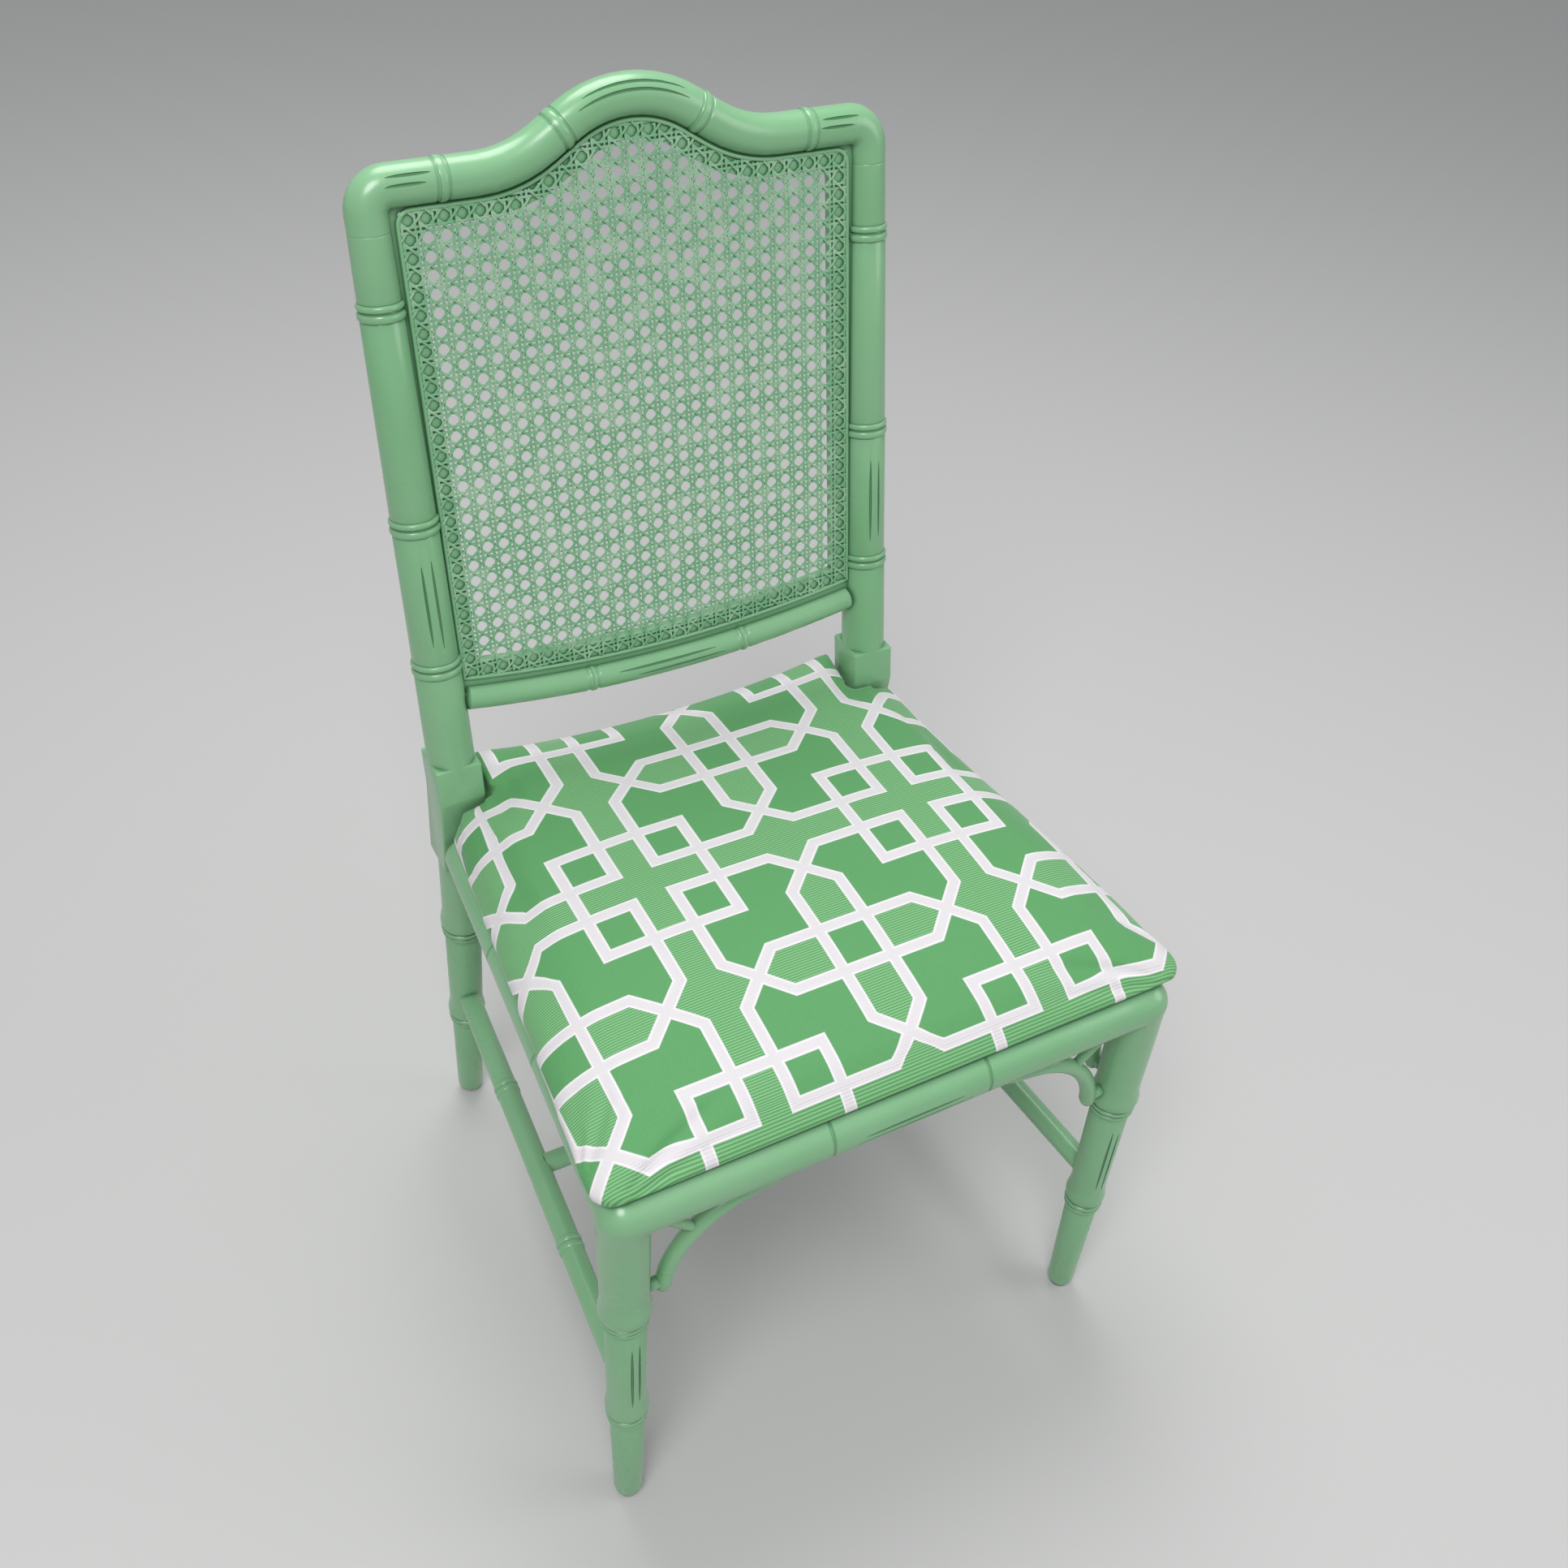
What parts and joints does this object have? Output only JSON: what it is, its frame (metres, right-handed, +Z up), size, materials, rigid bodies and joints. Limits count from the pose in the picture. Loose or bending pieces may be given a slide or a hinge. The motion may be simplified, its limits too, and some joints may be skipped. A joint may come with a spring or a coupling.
{
  "type": "faux bamboo dining chair",
  "caption": "Side chair turned to look like bamboo, with a camel-back crest over a caned back panel, bracketed seat rails, stretchers and an upholstered seat.",
  "frame": {"origin": "on the floor, under the middle of the overall box", "axes": "+X to the right seen from the front, +Y from the front to the back, +Z up; the chair faces -Y"},
  "size_m": [0.4722, 0.4956, 0.9449],
  "materials": {
    "painted_wood": "satin green paint",
    "bare_wood": "unfinished hardwood",
    "painted_cane": "painted woven cane",
    "plywood": "unfinished plywood",
    "foam": "upholstery foam",
    "seat_cloth": "woven cloth with a fretwork pattern",
    "dust_cloth": "thin non-woven cloth",
    "glide_steel": "plain"
  },
  "bodies": {
    "root": {"bracket_struts": "painted_wood", "cane_panel": "painted_cane", "cane_spline": "painted_cane", "crest_rail": "painted_wood", "crest_tenons": "bare_wood", "cross_stretcher": "painted_wood", "dust_cover": "dust_cloth", "foot_glides": "glide_steel", "front_bracket_left": "painted_wood", "front_bracket_right": "painted_wood", "front_corner_block_left": "bare_wood", "front_corner_block_right": "bare_wood", "front_leg_left": "painted_wood", "front_leg_right": "painted_wood", "front_rail": "painted_wood", "lower_back_rail": "painted_wood", "lower_rail_tenons": "bare_wood", "panel_bottom_rail": "painted_wood", "panel_stile_left": "painted_wood", "panel_stile_right": "painted_wood", "panel_top_rail": "painted_wood", "rail_tenons": "bare_wood", "rear_corner_block_left": "bare_wood", "rear_corner_block_right": "bare_wood", "rear_leg_left": "painted_wood", "rear_leg_right": "painted_wood", "rear_rail": "painted_wood", "seat_board": "plywood", "seat_cover": "seat_cloth", "seat_foam": "foam", "side_bracket_left": "painted_wood", "side_bracket_right": "painted_wood", "side_rail_left": "painted_wood", "side_rail_right": "painted_wood", "side_stretcher_left": "painted_wood", "side_stretcher_right": "painted_wood"}
  },
  "joints": []
}
